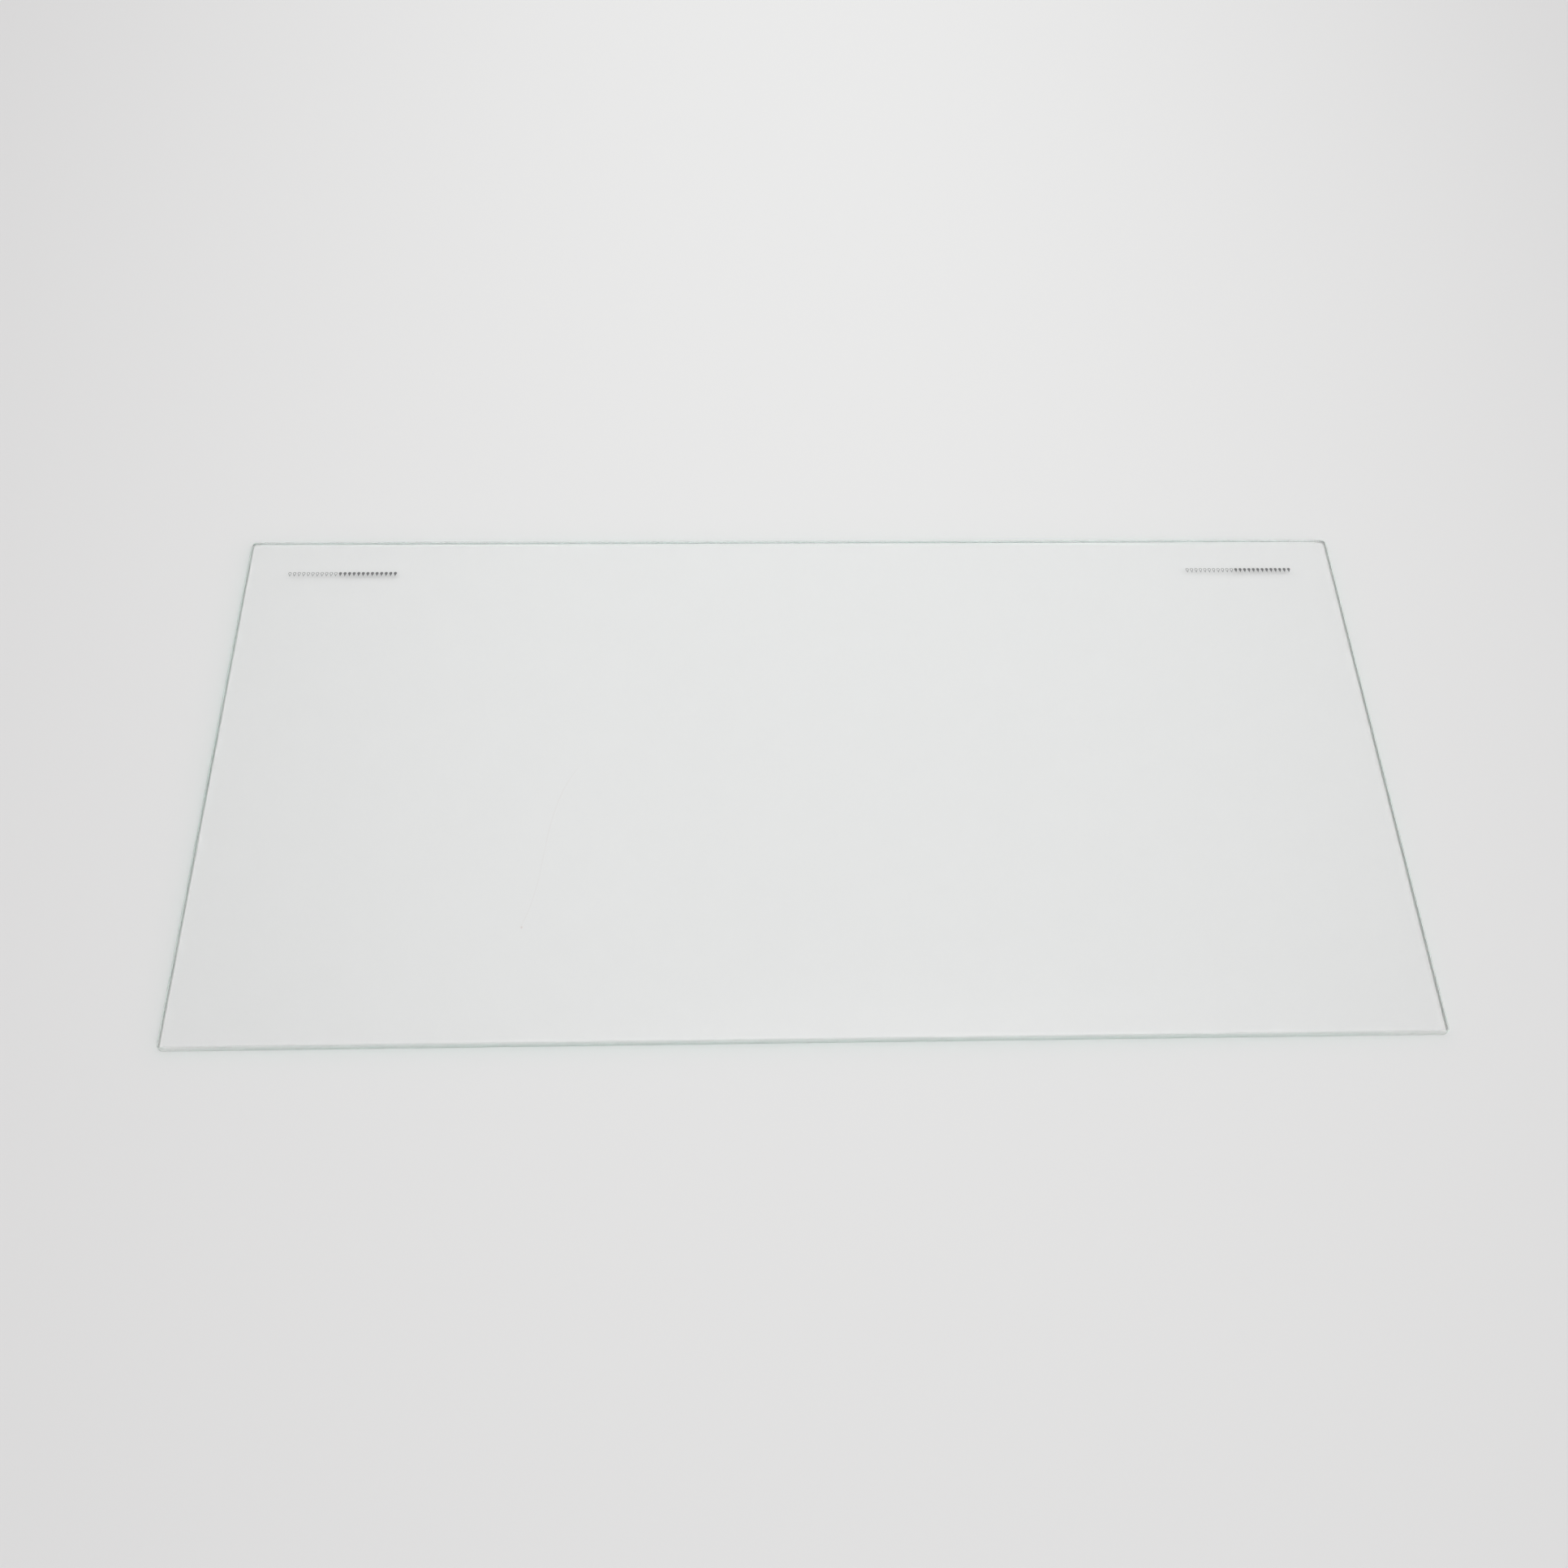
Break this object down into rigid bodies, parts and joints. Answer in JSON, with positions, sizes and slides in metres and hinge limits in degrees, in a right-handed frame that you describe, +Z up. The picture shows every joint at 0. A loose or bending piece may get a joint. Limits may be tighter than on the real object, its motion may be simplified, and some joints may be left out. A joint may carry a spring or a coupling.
{
  "type": "refrigerator glass shelf",
  "caption": "Flat rectangular pane of clear toughened glass with small rounded corners and flat ground edges, laid on side ledges in a refrigerator to carry food or cover a drawer.",
  "frame": {"origin": "middle of the underside, which lies on the ledges", "axes": "+X along the width, to the right of someone facing the shelf; +Y from the front edge to the back edge; +Z up"},
  "size_m": [0.61, 0.3, 0.004],
  "materials": {
    "glass": "clear float glass with a faint green tint, polished faces and front edge, the other edges ground satin",
    "printed_mark": "fired grey enamel, screen printed on the top face"
  },
  "bodies": {
    "root": {"glass_shelf": "glass"}
  },
  "joints": []
}
